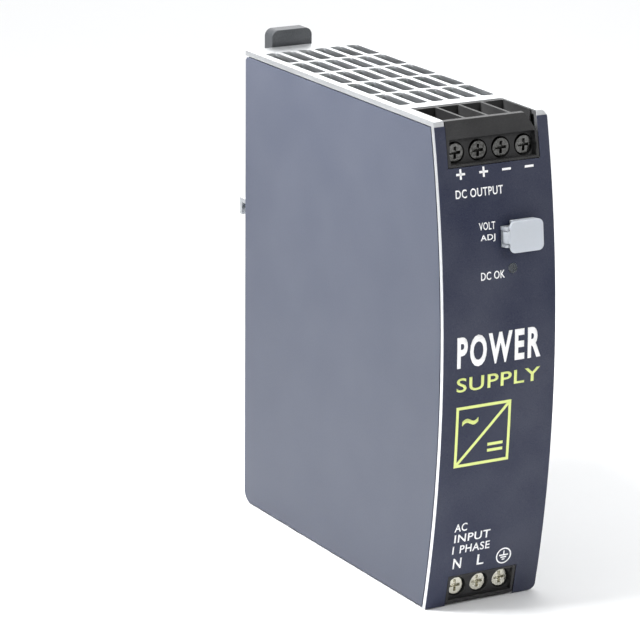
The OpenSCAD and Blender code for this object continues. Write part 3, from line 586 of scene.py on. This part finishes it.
class SUPPLY_OT_stage(bpy.types.Operator):
    """Makes the floor, the lights and the camera."""

    bl_idname = "supply.stage"
    bl_label = "Stage"

    def execute(self, context):
        bpy.ops.mesh.primitive_plane_add(size=12, location=(0, 0, -0.0002))
        floor = context.object
        floor.name = "floor"
        floor.data.materials.append(
            finish("Pale paper floor", "#F2F3F4", 2, (0.7, 0.8), tones=(-0.01, 0.01), IOR=1.45))
        world = bpy.data.worlds.new("Pale studio")
        context.scene.world = world
        world.use_nodes = True
        world.node_tree.nodes["Background"].inputs["Color"].default_value = (1, 1, 1, 1)
        world.node_tree.nodes["Background"].inputs["Strength"].default_value = 0.3
        self.add_light("Overhead softbox", (-0.1, 0.1, 1.5), (0, 0, 0), 1.3, 13.5)
        self.add_light("Back softbox", (0.85, 1.55, 0.6), (0, 0, 0.1), 1.4, 13)
        self.add_light("Left softbox", (-0.16, 0.03, 0.32), (0, 0, 0.15), 0.12, 2)
        self.add_light("Front softbox", (0.25, -1.0, 0.8), (0, 0, 0.06), 0.5, 5)
        self.add_camera(context)
        context.scene.view_settings.view_transform = "Standard"
        return {"FINISHED"}

    def add_light(self, name, place, aim, size, power):
        """Adds a square softbox that looks at a point, with its size in metres and power in watts."""
        bpy.ops.object.light_add(type="AREA", location=place)
        light = bpy.context.object
        light.name = name
        light.data.size = size
        light.data.energy = power
        light.visible_camera = False
        light.rotation_euler = (Vector(place) - Vector(aim)).to_track_quat("Z", "Y").to_euler()

    def add_camera(self, context):
        """Adds the camera at the viewing angle of the front left corner."""
        azimuth, elevation, roll = (math.radians(a) for a in (-29.42, 15.94, 0.5))
        back = Vector((math.sin(azimuth) * math.cos(elevation),
                       -math.cos(azimuth) * math.cos(elevation), math.sin(elevation)))
        bpy.ops.object.camera_add(location=(-0.4521, -0.7662, 0.3146))
        camera = context.object
        turned = back.to_track_quat("Z", "Y").to_matrix() @ Matrix.Rotation(roll, 3, "Z")
        camera.rotation_euler = turned.to_euler()
        camera.data.lens = 202.4
        camera.data.sensor_width = 36
        camera.data.clip_start = 0.01
        context.scene.camera = camera


class SUPPLY_OT_inner_parts(bpy.types.Operator):
    """Makes the boards and the parts on them."""

    bl_idname = "supply.inner_parts"
    bl_label = "Inner parts"

    def execute(self, context):
        small = context.scene.supply_finish.small_edge
        # Rounding of dipped, wound and sleeved parts
        round_edge = 0.6 * MM
        finishes = {
            "insulation_sheet": ("insulation_film", 0), "main_board": ("board_green", 0),
            "terminal_boards": ("board_green", 0), "front_board": ("board_green", 0),
            "control_board": ("board_green", 0), "board_chips": ("chip_black", small),
            "board_standoffs": ("zinc_steel", small), "board_screws": ("zinc_steel", small),
            "input_fuse": ("fuse_brown", round_edge / 2),
            "surge_varistor": ("varistor_blue", round_edge),
            "inrush_limiter": ("limiter_green", round_edge),
            "x_capacitors": ("film_capacitor_yellow", round_edge / 2),
            "choke_core": ("ferrite_grey", round_edge / 2),
            "y_capacitors": ("y_capacitor_blue", round_edge),
            "bridge_rectifier": ("chip_black", small),
            "transformer_core": ("ferrite_grey", round_edge / 2),
            "transformer_bobbin": ("bobbin_black", small),
            "transformer_windings": ("winding_tape", small),
            "primary_heatsink": ("sink_aluminium", small),
            "switch_transistor": ("chip_black", small),
            "secondary_heatsink": ("sink_aluminium", small),
            "rectifier_diodes": ("chip_black", small),
        }
        for name, (slot, edge) in finishes.items():
            refined(name, slot, edge, clamped=True)
        for name in ("choke_windings", "output_inductor"):
            paint(frame["nodes"][name], "enamelled_copper")
        for name in ("bulk_capacitors", "output_capacitors"):
            refined(name, "capacitor_sleeve", round_edge, clamped=True)
        return {"FINISHED"}


class SUPPLY_PT_panel(bpy.types.Panel):
    """Lists the pieces of the power supply."""

    bl_idname = "SUPPLY_PT_panel"
    bl_label = "Power supply"
    bl_space_type = "VIEW_3D"
    bl_region_type = "UI"
    bl_category = "Power supply"

    def draw(self, context):
        for kind in OPERATORS:
            self.layout.operator(kind.bl_idname)
        for name in SupplyFinish.__annotations__:
            self.layout.prop(context.scene.supply_finish, name)


OPERATORS = (SUPPLY_OT_case, SUPPLY_OT_printing, SUPPLY_OT_terminals, SUPPLY_OT_flap, SUPPLY_OT_foot,
             SUPPLY_OT_inner_parts, SUPPLY_OT_stage)
CLASSES = (SupplyFinish, SUPPLY_PT_panel) + OPERATORS


def register():
    for kind in CLASSES:
        bpy.utils.register_class(kind)
    bpy.types.Scene.supply_finish = bpy.props.PointerProperty(type=SupplyFinish)


def unregister():
    del bpy.types.Scene.supply_finish
    for kind in reversed(CLASSES):
        bpy.utils.unregister_class(kind)


def main():
    register()
    make_materials()
    bpy.ops.supply.case()
    bpy.ops.supply.printing()
    bpy.ops.supply.terminals()
    bpy.ops.supply.flap()
    bpy.ops.supply.foot()
    bpy.ops.supply.inner_parts()
    bpy.ops.supply.stage()


if __name__ == "__main__":
    main()
